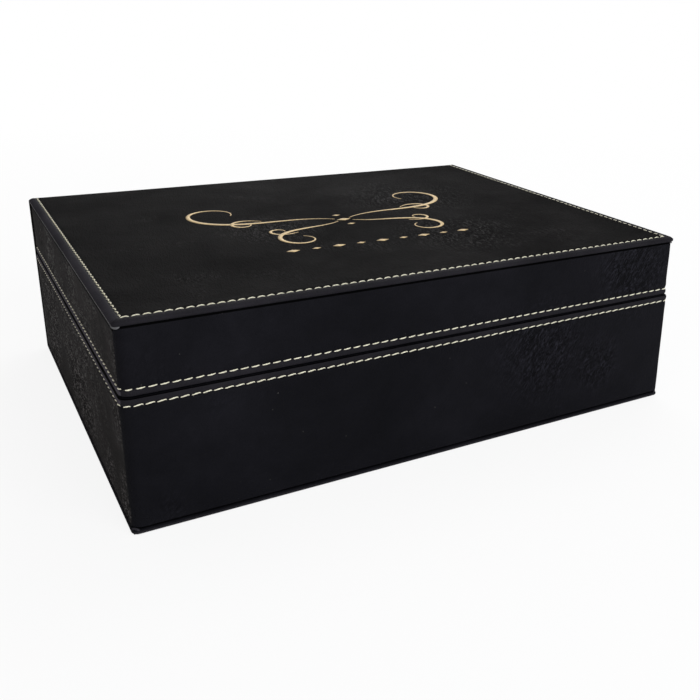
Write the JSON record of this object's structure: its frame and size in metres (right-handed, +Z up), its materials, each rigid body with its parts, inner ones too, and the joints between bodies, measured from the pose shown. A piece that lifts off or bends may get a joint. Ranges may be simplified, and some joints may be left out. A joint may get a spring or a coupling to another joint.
{
  "type": "leatherette gift box",
  "caption": "Black leatherette gift box with a hinged lid, stitched edges, rolled rims and a padded velvet lining, for papers and keepsakes.",
  "frame": {"origin": "middle of the underside, at rest with the lid closed", "axes": "+X along the long side, to the right seen from the front; -Y out of the front; +Z up"},
  "size_m": [0.3, 0.24, 0.097],
  "materials": {
    "leatherette": "black pebbled leatherette, satin",
    "hinge_lining": "thin black leatherette strip",
    "thread": "cream sewing thread",
    "velvet": "short-pile black velvet",
    "grey_board": "dense grey bookbinding board",
    "magnet": "nickel-plated bar magnet"
  },
  "bodies": {
    "base": {"bottom_cover_leatherette": "leatherette", "bottom_board": "grey_board", "lower_spine_board": "grey_board", "base_wall_leatherette": "leatherette", "base_front_wall_board": "grey_board", "base_back_wall_board": "grey_board", "base_left_wall_board": "grey_board", "base_right_wall_board": "grey_board", "base_front_lining": "velvet", "base_back_lining": "velvet", "base_left_lining": "velvet", "base_right_lining": "velvet", "base_floor_card": "grey_board", "base_floor_pad": "velvet", "base_left_rim_magnet": "magnet", "base_right_rim_magnet": "magnet", "base_rim_thread": "thread", "hinge_leatherette": "leatherette", "hinge_lining": "hinge_lining"},
    "lid": {"top_cover_leatherette": "leatherette", "top_board": "grey_board", "upper_spine_board": "grey_board", "lid_wall_leatherette": "leatherette", "lid_front_wall_board": "grey_board", "lid_back_wall_board": "grey_board", "lid_left_wall_board": "grey_board", "lid_right_wall_board": "grey_board", "lid_front_lining": "velvet", "lid_back_lining": "velvet", "lid_left_lining": "velvet", "lid_right_lining": "velvet", "lid_ceiling_card": "grey_board", "lid_ceiling_pad": "velvet", "lid_left_rim_magnet": "magnet", "lid_right_rim_magnet": "magnet", "lid_rim_thread": "thread", "top_edge_thread": "thread"}
  },
  "joints": [
    {"name": "lid_hinge", "type": "hinge", "parent": "base", "child": "lid", "pos_m": [0, 0.1186, 0.0635], "axis": [-1, 0, 0], "range_deg": [0, 100], "deforming": ["hinge_leatherette", "hinge_lining"]}
  ]
}
